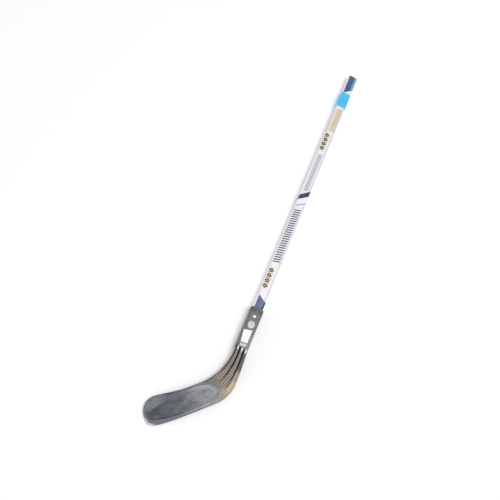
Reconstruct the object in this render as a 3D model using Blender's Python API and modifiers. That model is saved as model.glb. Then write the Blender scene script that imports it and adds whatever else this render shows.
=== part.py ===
"""Youth street hockey stick, left-handed, lying on its back face.

A laminated wood shaft in a printed film is set in the socket of a moulded ABS blade and
held by one screw. Metres. +X runs up the shaft to the butt, +Y is the side the blade
reaches out to, +Z is up, away from the floor. The origin is the middle of the hosel's
flat back, on the floor. The blade curves down, so its toe touches the floor too.
"""

import math

import bmesh
import bpy
from mathutils import Vector

# Whole stick
STICK_LENGTH = 1.016        # butt to heel, measured along the shaft's axis
LIE = math.radians(134)     # inside angle between the shaft and the blade's lower edge
FIT_GAP = 0.0003            # clearance between pieces that seat on each other

# Shaft, over its film
SHAFT_WIDTH = 0.0265
SHAFT_THICKNESS = 0.018
SHAFT_CORNER = 0.0042
FILM_WALL = 0.0003
FACE_PLY = 0.0022
GLUE_LINE = 0.0003

# Colour band near the butt
BAND_WALL = 0.00025
BAND_FROM_BUTT = 0.0638
BAND_WIDTH = 0.050

# Hosel, the moulded socket
HOSEL_LENGTH = 0.105
HOSEL_WALL = 0.0032
HOSEL_CORNER = 0.0065
SOCKET_DEPTH = 0.095
COLLAR_LENGTH = 0.0065      # from the mouth to the groove below it
COLLAR_GROOVE = 0.0016      # width of that groove
COLLAR_DEPTH = 0.0008

# Neck, from the hosel's lower end to the blade
NECK_LENGTH = 0.145         # hosel's lower end to the heel, along the shaft's axis
NECK_PINCH = 0.0022          # how far the inner edge draws in below the hosel
PINCH_LENGTH = 0.013
HEEL_FLARE = 0.0045         # how far the outer edge runs out towards the heel
FLARE_LENGTH = 0.075
THROAT_RADIUS = 0.148       # inside bend, neck to the blade's upper edge
HEEL_RADIUS = 0.085         # outside bend, neck to the blade's lower edge
NECK_BLEND_END = 0.024      # the hosel's thickness has run out this far up from the heel
NECK_CORNER = 0.0075

# Blade, measured from the heel along its lower edge
BLADE_LENGTH = 0.176
BLADE_HEIGHT = 0.0595       # at the heel
TOE_HEIGHT = 0.070
TOE_RISE_START = 0.055      # the upper edge starts to climb here
TOE_START = 0.136           # the round of the toe starts here
TOE_AXIS = 0.028            # height of the toe's foremost point
TOE_FULLNESS = (2.3, 3.2)   # above and below the axis: 2 is an ellipse, more is squarer
TOE_LIFT = 0.002            # rocker: how far the lower edge has risen where the toe starts
LIFT_START = 0.085
HEEL_THICKNESS = 0.0092
TOE_THICKNESS = 0.006
EDGE_ROUND = 0.9            # share of the half thickness that the edges are rounded by

# Moulded relief, alike on both faces
# Across the neck 1 is its inner edge and -1 its outer: where each flute starts and ends.
FLUTE_LINES = ((0.93, 0.97), (0.36, 0.35), (-0.30, -0.34))
FLUTE_STARTS = (0.02, 0.03, 0.04)   # shares of the neck's length
FLUTE_ENDS = (0.55, 0.70, 0.66)
FLUTE_WIDTH = 0.0032
FLUTE_DEPTH = 0.001
LEAF_HEEL = -0.0045          # the leaf-shaped panel's ends, along the blade
LEAF_TOE = 0.167
LEAF_WIDEST = 0.065
LEAF_AXIS = 0.0245
LEAF_RISE = 0.026
LEAF_FALL = 0.0178
LEAF_BLUNT = 2.7            # how round the heel end is
LEAF_POINT = (2.5, 1.85)    # how pointed the toe end is, above and below the axis
LEAF_DEPTH = 0.0007
LEAF_SLOPE = 0.0015         # width of the panel's sloped wall
BEAD_RADIUS = 0.0009
BEAD_PROUD = 0.0004

# Screw through the hosel's front wall
SCREW_FROM_MOUTH = 0.0227
SCREW_OFFSET = 0.0015        # driven this far off the centre line, towards the inner edge
HEAD_RADIUS = 0.004
HEAD_HEIGHT = 0.0022
SHANK_RADIUS = 0.0016
SHANK_LENGTH = 0.0135
TIP_LENGTH = 0.003
RECESS_WIDTH = 0.0009
RECESS_SPAN = 0.0042
RECESS_DEPTH = 0.0011

# Fineness
CORNER_STEPS = 5
FACE_STEPS = 12
NECK_STEPS = 26
BLADE_STEPS = 14
TOE_STEPS = 9
LEAF_STEPS = 26
BEAD_POINTS = 72
OVERCUT = 0.002             # how far a cutter stands clear of what it cuts

# Worked out from the sizes above
WOOD_INSET = FILM_WALL + FIT_GAP
SOCKET_GROWTH = 2 * FIT_GAP
HOSEL_HALF_WIDTH = SHAFT_WIDTH / 2 + FIT_GAP + HOSEL_WALL
HOSEL_HALF_THICKNESS = SHAFT_THICKNESS / 2 + FIT_GAP + HOSEL_WALL
AXIS_Z = HOSEL_HALF_THICKNESS
MOUTH_X = HOSEL_LENGTH / 2
HOSEL_END_X = -HOSEL_LENGTH / 2
HEEL_X = HOSEL_END_X - NECK_LENGTH
BUTT_X = HEEL_X + STICK_LENGTH
SOCKET_FLOOR_X = MOUTH_X - SOCKET_DEPTH
SHAFT_END_X = SOCKET_FLOOR_X + FIT_GAP
TOE_DROP = AXIS_Z - TOE_THICKNESS / 2
ALONG = Vector((math.cos(LIE), math.sin(LIE)))
UPWARD = Vector((math.sin(LIE), -math.cos(LIE)))


def clear_scene():
    for item in list(bpy.data.objects):
        bpy.data.objects.remove(item, do_unlink=True)


def new_collection(name):
    made = bpy.data.collections.new(name)
    bpy.context.scene.collection.children.link(made)
    return made


def new_material(name, colour, roughness, metallic=0.0):
    made = bpy.data.materials.new(name)
    made.use_nodes = True
    shader = made.node_tree.nodes["Principled BSDF"]
    shader.inputs["Base Color"].default_value = (*colour, 1.0)
    shader.inputs["Roughness"].default_value = roughness
    shader.inputs["Metallic"].default_value = metallic
    made.diffuse_color = (*colour, 1.0)
    return made


def put(name, mesh, collection, material=None, parent=None):
    made = bpy.data.objects.new(name, mesh)
    collection.objects.link(made)
    made.parent = parent
    if material:
        mesh.materials.append(material)
        mesh.shade_smooth()
        mesh.set_sharp_from_angle(angle=math.radians(35))
    else:
        made.hide_render = True
        made.display_type = "WIRE"
    return made


def cut(target, cutter, operation="DIFFERENCE"):
    step = target.modifiers.new(cutter.name, "BOOLEAN")
    step.operation = operation
    step.solver = "EXACT"
    step.object = cutter


def smooth_step(share):
    share = min(max(share, 0.0), 1.0)
    return share * share * (3 - 2 * share)


def bar_mesh(name, start_x, end_x, width, thickness, corner, middle_z=AXIS_Z):
    """A bar along X whose four long edges are rounded."""
    shape = bmesh.new()
    bmesh.ops.create_cube(shape, size=1.0)
    for vertex in shape.verts:
        vertex.co.x = start_x + (vertex.co.x + 0.5) * (end_x - start_x)
        vertex.co.y *= width
        vertex.co.z = middle_z + vertex.co.z * thickness
    if corner > 0:
        long_edges = [e for e in shape.edges if abs(e.verts[0].co.x - e.verts[1].co.x) > 1e-6]
        bmesh.ops.bevel(
            shape, geom=long_edges, offset=corner, segments=CORNER_STEPS, profile=0.5,
            affect="EDGES",
        )
    mesh = bpy.data.meshes.new(name)
    shape.to_mesh(mesh)
    shape.free()
    return mesh


def sleeve(name, start_x, end_x, wall, clearance, collection, material, parent):
    """A thin tube round the shaft, open at both ends. The wall grows outwards from clearance."""
    grow = 2 * clearance
    mesh = bar_mesh(
        name, start_x, end_x, SHAFT_WIDTH + grow, SHAFT_THICKNESS + grow, SHAFT_CORNER + clearance
    )
    shape = bmesh.new()
    shape.from_mesh(mesh)
    ends = [f for f in shape.faces if abs(f.normal.x) > 0.5]
    bmesh.ops.delete(shape, geom=ends, context="FACES_ONLY")
    shape.to_mesh(mesh)
    shape.free()
    made = put(name, mesh, collection, material, parent)
    shell = made.modifiers.new("wall", "SOLIDIFY")
    shell.thickness = wall
    shell.offset = 1.0
    shell.use_even_offset = True
    return made


# Plan of the blade and neck: every point is (x, y), heights are left to the faces below

def blade_point(along, up):
    flat = Vector((HEEL_X, 0.0)) + ALONG * along + UPWARD * up
    return flat


def upper_edge(along):
    climb = smooth_step((along - TOE_RISE_START) / (BLADE_LENGTH - TOE_RISE_START) * 1.2)
    return BLADE_HEIGHT + (TOE_HEIGHT - BLADE_HEIGHT) * climb


def lower_edge(along):
    share = max(along - LIFT_START, 0.0) / (TOE_START - LIFT_START)
    return TOE_LIFT * share * share


def bend(before, corner, after, radius, steps):
    """The arc of this radius that rounds a corner between two straight edges."""
    back = (before - corner).normalized()
    ahead = (after - corner).normalized()
    half_angle = back.angle(ahead) / 2
    middle = corner + (back + ahead).normalized() * (radius / math.sin(half_angle))
    first = corner + back * (radius / math.tan(half_angle)) - middle
    last = corner + ahead * (radius / math.tan(half_angle)) - middle
    sweep = first.angle(last)
    points = []
    for step in range(steps + 1):
        share = step / steps
        weight_first = math.sin((1 - share) * sweep) / math.sin(sweep)
        weight_last = math.sin(share * sweep) / math.sin(sweep)
        points.append(middle + first * weight_first + last * weight_last)
    return points


def edge_route(side_y, shift, shift_length, height, radius):
    """An edge of the neck: hosel end, a drift of shift, the bend, and on along the blade."""
    settled = side_y + shift
    run = (settled - UPWARD.y * height) / ALONG.y
    corner = blade_point(run, height)
    bend_points = bend(Vector((HOSEL_END_X, settled)), corner, blade_point(BLADE_LENGTH, height), radius, 24)
    points = []
    for step in range(13):
        x = HOSEL_END_X + (bend_points[0].x - HOSEL_END_X) * step / 12
        drift = shift * smooth_step((HOSEL_END_X - x) / shift_length)
        points.append(Vector((x, side_y + drift)))
    return points[:-1] + bend_points


def point_on(route, share):
    """The point at this share of a route's length."""
    lengths = [(b - a).length for a, b in zip(route, route[1:])]
    left = share * sum(lengths)
    for start, end, length in zip(route, route[1:], lengths):
        if left <= length:
            return start.lerp(end, left / length)
        left -= length
    return route[-1].copy()


INNER_ROUTE = edge_route(HOSEL_HALF_WIDTH, -NECK_PINCH, PINCH_LENGTH, BLADE_HEIGHT, THROAT_RADIUS)
OUTER_ROUTE = edge_route(-HOSEL_HALF_WIDTH, -HEEL_FLARE, FLARE_LENGTH, 0.0, HEEL_RADIUS)


def along_of(point):
    return (point - Vector((HEEL_X, 0.0))).dot(ALONG)


BLADE_START = max(along_of(INNER_ROUTE[-1]), along_of(OUTER_ROUTE[-1])) + 0.002
INNER_ROUTE.append(blade_point(BLADE_START, BLADE_HEIGHT))
OUTER_ROUTE.append(blade_point(BLADE_START, lower_edge(BLADE_START)))


def thickness_at(point):
    """Full thickness: the blade's thins from heel to toe, and the neck's swells to the hosel's."""
    share = min(max(along_of(point) / BLADE_LENGTH, 0.0), 1.0)
    blade = HEEL_THICKNESS + (TOE_THICKNESS - HEEL_THICKNESS) * share
    up_neck = (point.x - HEEL_X - NECK_BLEND_END) / (NECK_LENGTH - NECK_BLEND_END)
    return blade + (2 * HOSEL_HALF_THICKNESS - blade) * smooth_step(up_neck)


def middle_at(point):
    """Height of the middle surface: level down the neck, then curving down to the toe."""
    share = max(along_of(point), 0.0) / BLADE_LENGTH
    return AXIS_Z - TOE_DROP * share * share


def corner_at(point, half_thickness):
    up_neck = min(max((point.x - HEEL_X) / NECK_LENGTH, 0.0), 1.0)
    neck = NECK_CORNER + (HOSEL_CORNER - NECK_CORNER) * smooth_step((up_neck - 0.7) / 0.3)
    return min(neck, half_thickness * EDGE_ROUND)


def edge_drop(depth, corner):
    """How far the face has fallen at this depth inside the edge."""
    if depth >= corner:
        return 0.0
    return corner - math.sqrt(max(corner * corner - (corner - depth) ** 2, 0.0))


def ring(inner, outer, squeeze=1.0):
    """One closed cross-section between two edge points, as a list of 3-D points."""
    middle = (inner + outer) / 2
    half = (inner - outer) / 2
    half_width = half.length
    side = half / half_width
    corner = corner_at(middle, thickness_at(middle) / 2)
    corner = min(corner, half_width * 0.9)
    reaches = []
    for step in range(CORNER_STEPS):
        turn = math.pi / 2 * step / CORNER_STEPS
        reaches.append(half_width - corner + corner * math.cos(turn))
    flat = half_width - corner
    for step in range(FACE_STEPS + 1):
        reaches.append(flat - 2 * flat * step / FACE_STEPS)
    reaches += [-reach for reach in reversed(reaches[:CORNER_STEPS])]
    front = []
    back = []
    for reach in reaches:
        at = middle + side * reach
        half_thickness = thickness_at(at) / 2
        round_by = min(corner, half_thickness * EDGE_ROUND)
        depth = (half_width - abs(reach)) * round_by / corner
        height = (half_thickness - edge_drop(depth, round_by)) * squeeze
        level = middle_at(at)
        front.append(Vector((at.x, at.y, level + height)))
        back.append(Vector((at.x, at.y, level - height)))
    return front + back[::-1]


def loft_mesh(name, rings):
    shape = bmesh.new()
    rows = [[shape.verts.new(point) for point in points] for points in rings]
    count = len(rows[0])
    for first, second in zip(rows, rows[1:]):
        for index in range(count):
            after = (index + 1) % count
            shape.faces.new((first[index], first[after], second[after], second[index]))
    shape.faces.new(rows[0][::-1])
    shape.faces.new(rows[-1])
    bmesh.ops.recalc_face_normals(shape, faces=shape.faces)
    mesh = bpy.data.meshes.new(name)
    shape.to_mesh(mesh)
    shape.free()
    return mesh


def hosel_ring(x):
    return ring(Vector((x, HOSEL_HALF_WIDTH)), Vector((x, -HOSEL_HALF_WIDTH)))


def blade_rings():
    rings = [hosel_ring(MOUTH_X)]
    for step in range(NECK_STEPS + 1):
        share = step / NECK_STEPS
        rings.append(ring(point_on(INNER_ROUTE, share), point_on(OUTER_ROUTE, share)))
    for step in range(1, BLADE_STEPS + 1):
        along = BLADE_START + (TOE_START - BLADE_START) * step / BLADE_STEPS
        rings.append(ring(blade_point(along, upper_edge(along)), blade_point(along, lower_edge(along))))
    toe_length = BLADE_LENGTH - TOE_START
    half_toe = TOE_THICKNESS / 2
    for step in range(1, TOE_STEPS + 1):
        reach = math.sin(math.pi / 2 * step / (TOE_STEPS + 0.35))
        along = TOE_START + toe_length * reach
        rise, fall = [(1 - reach ** power) ** (1 / power) for power in TOE_FULLNESS]
        upper = TOE_AXIS + (upper_edge(along) - TOE_AXIS) * rise
        lower = TOE_AXIS - (TOE_AXIS - lower_edge(along)) * fall
        past = max(along - (BLADE_LENGTH - half_toe), 0.0) / half_toe
        squeeze = math.sqrt(max(1 - past * past, 0.02))
        rings.append(ring(blade_point(along, upper), blade_point(along, lower), squeeze))
    return rings


# Cutters

def tube_mesh(name, points, radii, cyclic):
    """A round tube through these points, as a closed mesh."""
    route = bpy.data.curves.new(name, "CURVE")
    route.dimensions = "3D"
    route.bevel_depth = 1.0
    route.bevel_resolution = 2
    route.use_fill_caps = not cyclic
    line = route.splines.new("POLY")
    line.points.add(len(points) - 1)
    for place, point, radius in zip(line.points, points, radii):
        place.co = (*point, 1.0)
        place.radius = radius
    line.use_cyclic_u = cyclic
    guide = bpy.data.objects.new(name, route)
    bpy.context.scene.collection.objects.link(guide)
    bpy.context.view_layer.update()
    mesh = bpy.data.meshes.new_from_object(guide.evaluated_get(bpy.context.evaluated_depsgraph_get()))
    bpy.data.objects.remove(guide, do_unlink=True)
    shape = bmesh.new()
    shape.from_mesh(mesh)
    bmesh.ops.remove_doubles(shape, verts=shape.verts, dist=1e-6)
    bmesh.ops.recalc_face_normals(shape, faces=shape.faces)
    shape.to_mesh(mesh)
    shape.free()
    return mesh


def flute_cutter(name, lines, start, end, side, collection):
    """A tapered tube that follows one line down the neck, half sunk in the face."""
    full = (FLUTE_WIDTH ** 2 / 4 + FLUTE_DEPTH ** 2) / (2 * FLUTE_DEPTH)
    points = []
    radii = []
    steps = 22
    for step in range(steps + 1):
        share = step / steps
        place = start + (end - start) * share
        line = lines[0] + (lines[1] - lines[0]) * share
        inner = point_on(INNER_ROUTE, place)
        outer = point_on(OUTER_ROUTE, place)
        middle = (inner + outer) / 2
        half = (inner - outer) / 2
        at = middle + half * line
        taper = min(share / 0.06, 1.0) * (1 - 0.75 * share)
        depth = FLUTE_DEPTH * max(taper, 0.0)
        radius = full * (0.45 + 0.55 * max(taper, 0.0))
        corner = min(corner_at(middle, thickness_at(middle) / 2), half.length * 0.9)
        inside = half.length * (1 - abs(line))
        face = thickness_at(at) / 2 - edge_drop(inside, corner)
        tilt = 0.0
        if inside < corner:
            tilt = math.copysign(math.asin((corner - inside) / corner), line)
        outward = half.normalized() * math.sin(tilt)
        lift = radius - depth
        flat = at + outward * lift
        height = middle_at(at) + side * (face + math.cos(tilt) * lift)
        points.append((flat.x, flat.y, height))
        radii.append(radius)
    return put(name, tube_mesh(name, points, radii, False), collection)


def leaf_edge(along, side, inset):
    """Height on the blade of the leaf's upper (side 1) or lower (side -1) line."""
    if along < LEAF_WIDEST:
        share = (LEAF_WIDEST - along) / (LEAF_WIDEST - LEAF_HEEL - inset)
        power = LEAF_BLUNT
    else:
        share = (along - LEAF_WIDEST) / (LEAF_TOE - inset - LEAF_WIDEST)
        power = LEAF_POINT[side < 0]
    share = min(share, 1.0)
    spread = (LEAF_RISE if side > 0 else LEAF_FALL) - inset
    return LEAF_AXIS + side * spread * (1 - share ** power) ** (1 / power)


def face_height(along, up, side):
    at = blade_point(along, up)
    return middle_at(at) + side * thickness_at(at) / 2


def leaf_bead(name, side, collection):
    points = []
    for step in range(BEAD_POINTS):
        turn = 2 * math.pi * step / BEAD_POINTS
        reach = -math.cos(turn)
        heel_side = reach < 0
        span = LEAF_WIDEST - LEAF_HEEL if heel_side else LEAF_TOE - LEAF_WIDEST
        half = 1 if math.sin(turn) >= 0 else -1
        power = LEAF_BLUNT if heel_side else LEAF_POINT[half < 0]
        along = LEAF_WIDEST + span * math.copysign(abs(reach) ** (2 / power), reach)
        up = leaf_edge(along, half, 0.0)
        at = blade_point(along, up)
        height = face_height(along, up, side) - side * (BEAD_RADIUS - BEAD_PROUD)
        points.append((at.x, at.y, height))
    return put(name, tube_mesh(name, points, [BEAD_RADIUS] * BEAD_POINTS, True), collection)


def leaf_pocket(name, side, collection):
    """A shallow pocket inside the bead: sloped wall, floor parallel to the blade's face."""
    rings = []
    inset = BEAD_RADIUS * 0.5
    start = LEAF_HEEL + inset
    end = LEAF_TOE - inset
    for step in range(LEAF_STEPS + 1):
        reach = -math.cos(math.pi * (step + 0.35) / (LEAF_STEPS + 0.7))
        along = (start + end) / 2 + (end - start) / 2 * reach
        points = []
        rim_up = leaf_edge(along, 1, inset)
        rim_low = leaf_edge(along, -1, inset)
        slope = min(LEAF_SLOPE, (rim_up - rim_low) * 0.3)
        depth = LEAF_DEPTH * slope / LEAF_SLOPE
        for up, rise in (
            (rim_up + slope, OVERCUT),
            (rim_up, 0.0),
            (rim_up - slope, -depth),
            (rim_low + slope, -depth),
            (rim_low, 0.0),
            (rim_low - slope, OVERCUT),
        ):
            at = blade_point(along, up)
            level = face_height(along, min(max(up, rim_low), rim_up), side)
            points.append(Vector((at.x, at.y, level + side * rise)))
        rings.append(points)
    return put(name, loft_mesh(name, rings), collection)


def screw_profile(radii_heights):
    """A turned profile, run down its outer side, for the Screw modifier."""
    mesh = bpy.data.meshes.new("profile")
    mesh.from_pydata(
        [(radius, 0.0, height) for radius, height in radii_heights],
        [(index, index + 1) for index in range(len(radii_heights) - 1)],
        [],
    )
    return mesh


def turned(name, profile, place, steps, collection, material=None, parent=None):
    made = put(name, screw_profile(profile), collection, material, parent)
    made.location = place
    spin = made.modifiers.new("turn", "SCREW")
    spin.axis = "Z"
    spin.steps = steps
    spin.render_steps = steps
    spin.use_merge_vertices = True
    spin.merge_threshold = 0.00001
    spin.use_smooth_shade = True
    return made


def make_shaft(parts, cutters, parent):
    """Core and two face plies, sawn from one rounded blank along the glue lines."""
    width = SHAFT_WIDTH - 2 * WOOD_INSET
    thickness = SHAFT_THICKNESS - 2 * WOOD_INSET
    corner = SHAFT_CORNER - WOOD_INSET
    birch = new_material("core_wood", (0.62, 0.44, 0.26), 0.6)
    ash = new_material("face_wood", (0.70, 0.54, 0.34), 0.55)
    core_half = thickness / 2 - FACE_PLY - GLUE_LINE
    ply_middle = thickness / 2 - FACE_PLY / 2
    stock = OVERCUT + FACE_PLY
    plies = (
        ("shaft_core", birch, AXIS_Z, 2 * core_half),
        ("shaft_face_front", ash, AXIS_Z + ply_middle + OVERCUT / 2, stock),
        ("shaft_face_back", ash, AXIS_Z - ply_middle - OVERCUT / 2, stock),
    )
    made = {}
    for name, material, middle_z, slab in plies:
        blank = bar_mesh(name, SHAFT_END_X, BUTT_X, width, thickness, corner)
        piece = put(name, blank, parts, material, parent)
        sawn = bar_mesh(
            name + "_slab", SHAFT_END_X - OVERCUT, BUTT_X + OVERCUT, width + 2 * OVERCUT, slab, 0, middle_z
        )
        cut(piece, put(name + "_slab", sawn, cutters), "INTERSECT")
        made[name] = piece
    return made


def make_blade(parts, cutters, parent):
    """Hosel, neck and blade in one moulding: a loft, then socket, groove and relief."""
    plastic = new_material("abs", (0.14, 0.15, 0.16), 0.38)
    blade = put("blade", loft_mesh("blade", blade_rings()), parts, plastic, parent)
    for label, side in (("front", 1), ("back", -1)):
        cut(blade, leaf_bead("leaf_bead_" + label, side, cutters), "UNION")
        cut(blade, leaf_pocket("leaf_pocket_" + label, side, cutters))
        for index, (lines, start, end) in enumerate(zip(FLUTE_LINES, FLUTE_STARTS, FLUTE_ENDS)):
            name = f"flute_{label}_{index}"
            cut(blade, flute_cutter(name, lines, start, end, side, cutters))
    socket = bar_mesh(
        "socket", SOCKET_FLOOR_X, MOUTH_X + OVERCUT, SHAFT_WIDTH + SOCKET_GROWTH,
        SHAFT_THICKNESS + SOCKET_GROWTH, SHAFT_CORNER + FIT_GAP,
    )
    cut(blade, put("socket", socket, cutters))
    cut(blade, collar_cutter(cutters))
    return blade


def collar_cutter(cutters):
    """A square ring that cuts the groove below the hosel's mouth."""
    start = MOUTH_X - COLLAR_LENGTH - COLLAR_GROOVE
    end = MOUTH_X - COLLAR_LENGTH
    outside = bar_mesh(
        "collar_groove", start, end, 2 * (HOSEL_HALF_WIDTH + OVERCUT), 2 * (HOSEL_HALF_THICKNESS + OVERCUT), 0
    )
    keep = bar_mesh(
        "collar_keep", start - OVERCUT, end + OVERCUT, 2 * (HOSEL_HALF_WIDTH - COLLAR_DEPTH),
        2 * (HOSEL_HALF_THICKNESS - COLLAR_DEPTH), HOSEL_CORNER - COLLAR_DEPTH,
    )
    cutter = put("collar_groove", outside, cutters)
    cut(cutter, put("collar_keep", keep, cutters))
    return cutter


def make_screw(parts, cutters, parent):
    """Domed head on the hosel's front wall, shank through the wall into the wood."""
    steel = new_material("screw_steel", (0.72, 0.72, 0.74), 0.25, 1.0)
    seat = 2 * HOSEL_HALF_THICKNESS + FIT_GAP
    place = (MOUTH_X - SCREW_FROM_MOUTH, SCREW_OFFSET, seat)
    dome = []
    for step in range(7):
        turn = math.pi / 2 * step / 6
        dome.append((HEAD_RADIUS * math.sin(turn), HEAD_HEIGHT * math.cos(turn)))
    profile = dome + [
        (HEAD_RADIUS, 0.0),
        (SHANK_RADIUS, 0.0),
        (SHANK_RADIUS, -SHANK_LENGTH),
        (0.0, -SHANK_LENGTH - TIP_LENGTH),
    ]
    del profile[6]
    screw = turned("hosel_screw", profile, place, 32, parts, steel, parent)
    for turn in (0, 1):
        name = f"recess_{turn}"
        slot = bar_mesh(name, -RECESS_SPAN / 2, RECESS_SPAN / 2, RECESS_WIDTH, 2 * RECESS_DEPTH, 0, 0.0)
        cutter = put(name, slot, cutters)
        cutter.location = (place[0], place[1], seat + HEAD_HEIGHT)
        cutter.rotation_euler = (0.0, 0.0, math.pi / 2 * turn)
        cut(screw, cutter)
    hole_radius = SHANK_RADIUS + FIT_GAP
    hole_profile = [
        (0.0, OVERCUT),
        (hole_radius, OVERCUT),
        (hole_radius, -SHANK_LENGTH - TIP_LENGTH - FIT_GAP),
        (0.0, -SHANK_LENGTH - TIP_LENGTH - FIT_GAP),
    ]
    return turned("screw_hole", hole_profile, place, 32, cutters)


def main():
    clear_scene()
    parts = new_collection("street_hockey_stick")
    cutters = new_collection("cutters")
    frame = bpy.data.objects.new("stick_frame", None)
    parts.objects.link(frame)

    wood = make_shaft(parts, cutters, frame)
    white = new_material("white_film", (0.9, 0.9, 0.92), 0.3)
    film = sleeve("printed_film", SHAFT_END_X, BUTT_X, FILM_WALL, -FILM_WALL, parts, white, frame)
    blue = new_material("blue_tape", (0.07, 0.53, 1.0), 0.4)
    band_end = BUTT_X - BAND_FROM_BUTT
    sleeve("colour_band", band_end - BAND_WIDTH, band_end, BAND_WALL, FIT_GAP, parts, blue, frame)
    blade = make_blade(parts, cutters, frame)
    hole = make_screw(parts, cutters, frame)
    for piece in (blade, film, wood["shaft_face_front"], wood["shaft_core"], wood["shaft_face_back"]):
        cut(piece, hole)


main()
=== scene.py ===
"""Looks of the youth street hockey stick, in the order in which one is put together.

Metres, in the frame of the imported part: +X runs up the shaft to the butt, +Y is the side
the blade reaches out to, +Z is away from the floor. Sizes written in millimetres say so.
"""

import math

import bmesh
import bpy
import numpy as np
from mathutils import Matrix, Vector


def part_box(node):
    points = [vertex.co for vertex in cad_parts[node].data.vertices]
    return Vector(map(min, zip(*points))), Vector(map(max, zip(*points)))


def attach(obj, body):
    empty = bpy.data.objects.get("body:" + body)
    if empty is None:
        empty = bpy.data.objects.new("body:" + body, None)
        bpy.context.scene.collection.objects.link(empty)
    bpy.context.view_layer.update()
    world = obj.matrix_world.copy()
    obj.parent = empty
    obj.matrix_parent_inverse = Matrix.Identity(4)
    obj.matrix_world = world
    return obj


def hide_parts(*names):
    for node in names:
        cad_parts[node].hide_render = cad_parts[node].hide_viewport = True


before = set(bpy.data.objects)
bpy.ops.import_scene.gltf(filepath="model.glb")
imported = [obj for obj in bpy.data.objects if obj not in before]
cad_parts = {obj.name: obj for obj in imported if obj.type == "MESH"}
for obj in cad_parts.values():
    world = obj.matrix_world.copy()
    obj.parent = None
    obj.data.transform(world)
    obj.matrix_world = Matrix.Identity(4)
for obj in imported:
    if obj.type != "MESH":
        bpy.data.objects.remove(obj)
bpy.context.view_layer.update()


# Camera
# Photographed from above, a little beyond the toe of the blade, with a normal lens, so the
# blade lies low on the left and the butt high on the right.
CAMERA_PLACE = (-0.36911, 0.29183, 1.50928)
CAMERA_RIGHT = (0.3720, -0.88904, 0.2669)
CAMERA_UP = (0.86148, 0.43773, 0.25736)
CAMERA_BACK = (-0.34563, 0.13419, 0.92873)
LENS_MM = 44.64
SENSOR_MM = 36.0
HALF_PIXEL = 0.5 / 500
CLIP_START = 0.05

lens = bpy.data.cameras.new("photo_camera")
lens.lens = LENS_MM
lens.sensor_width = SENSOR_MM
lens.shift_x = -HALF_PIXEL
lens.shift_y = HALF_PIXEL
lens.clip_start = CLIP_START
photo_camera = bpy.data.objects.new("photo_camera", lens)
bpy.context.scene.collection.objects.link(photo_camera)
turned = Matrix((CAMERA_RIGHT, CAMERA_UP, CAMERA_BACK)).transposed().to_4x4()
photo_camera.matrix_world = Matrix.Translation(CAMERA_PLACE) @ turned
bpy.context.scene.camera = photo_camera


# Wood of the shaft
# A birch core between two ash face plies, sawn to size and rounded along its edges. Only
# the sawn butt shows it: end grain with open pores, finer in the core than in the plies.
MM = 0.001
WOOD_GRAIN_MM = (83.3, 2.38, 2.38)
BIRCH_PORES_MM = 0.55
ASH_PORES_MM = 0.8


def linear(hex_colour):
    """An sRGB hex colour as the linear colour that a shader socket takes."""
    parts = [int(hex_colour[i:i + 2], 16) / 255 for i in (1, 3, 5)]
    spread = [p / 12.92 if p <= 0.04045 else ((p + 0.055) / 1.055) ** 2.4 for p in parts]
    return (*spread, 1.0)


def add_node(tree, kind, settings=None, links=None):
    """Adds a node. Settings are its options or its sockets' values, links join its sockets."""
    made = tree.nodes.new(kind)
    for name, value in (settings or {}).items():
        if isinstance(name, str) and hasattr(made, name):
            setattr(made, name, value)
        else:
            made.inputs[name].default_value = value
    for name, source in (links or {}).items():
        tree.links.new(source, made.inputs[name])
    return made


def new_finish(name, colour, roughness, **sockets):
    """A material with its shader, whose plain values are set here, and its object coordinates."""
    made = bpy.data.materials.new(name)
    made.use_nodes = True
    made.diffuse_color = linear(colour)
    shader = made.node_tree.nodes["Principled BSDF"]
    shader.inputs["Base Color"].default_value = linear(colour)
    shader.inputs["Roughness"].default_value = roughness
    for socket, value in sockets.items():
        shader.inputs[socket.replace("_", " ")].default_value = value
    place = add_node(made.node_tree, "ShaderNodeTexCoord").outputs["Object"]
    return made, made.node_tree, shader, place


def per_metre(*sizes_mm):
    """Pattern scales that give marks of these sizes, which are in millimetres."""
    scales = [1 / (size * MM) for size in sizes_mm]
    return scales if len(scales) > 1 else scales[0]


def amount(tree, *parts, blend="SMOOTHSTEP"):
    """Parts multiplied. A part is a ready value, or a value with the two levels between which
    it rises or falls, and what it gives at each where that isn't 0 and 1. Blend is the curve
    between them."""
    whole = None
    for part in parts:
        if isinstance(part, tuple):
            source, start, end, *given = part
            low, high = given or (0.0, 1.0)
            part = add_node(tree, "ShaderNodeMapRange",
                            {"interpolation_type": blend, 1: start, 2: end, 3: low, 4: high},
                            {0: source}).outputs[0]
        if whole is None:
            whole = part
        else:
            whole = add_node(tree, "ShaderNodeMath", {"operation": "MULTIPLY"},
                             {0: whole, 1: part}).outputs[0]
    return whole


def tinted(tree, under, over, *parts):
    """One colour laid over another, as far as the parts together let it."""
    settings = {"data_type": "RGBA"}
    links = {0: amount(tree, *parts)}
    for socket, colour in ((6, under), (7, over)):
        if isinstance(colour, str):
            settings[socket] = linear(colour)
        else:
            links[socket] = colour
    return add_node(tree, "ShaderNodeMix", settings, links).outputs[2]


def surface(tree, shader, tone, gloss=None, height=None, strength=0.0, depth_mm=0.0, sunk=False):
    """Joins a finish's tone, and its gloss and relief where it has them, to its shader."""
    tree.links.new(tone, shader.inputs["Base Color"])
    if gloss is not None:
        tree.links.new(gloss, shader.inputs["Roughness"])
    if height is not None:
        relief = add_node(tree, "ShaderNodeBump",
                          {"Strength": strength, "Distance": depth_mm * MM, "invert": sunk},
                          {"Height": height})
        tree.links.new(relief.outputs[0], shader.inputs["Normal"])


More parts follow.
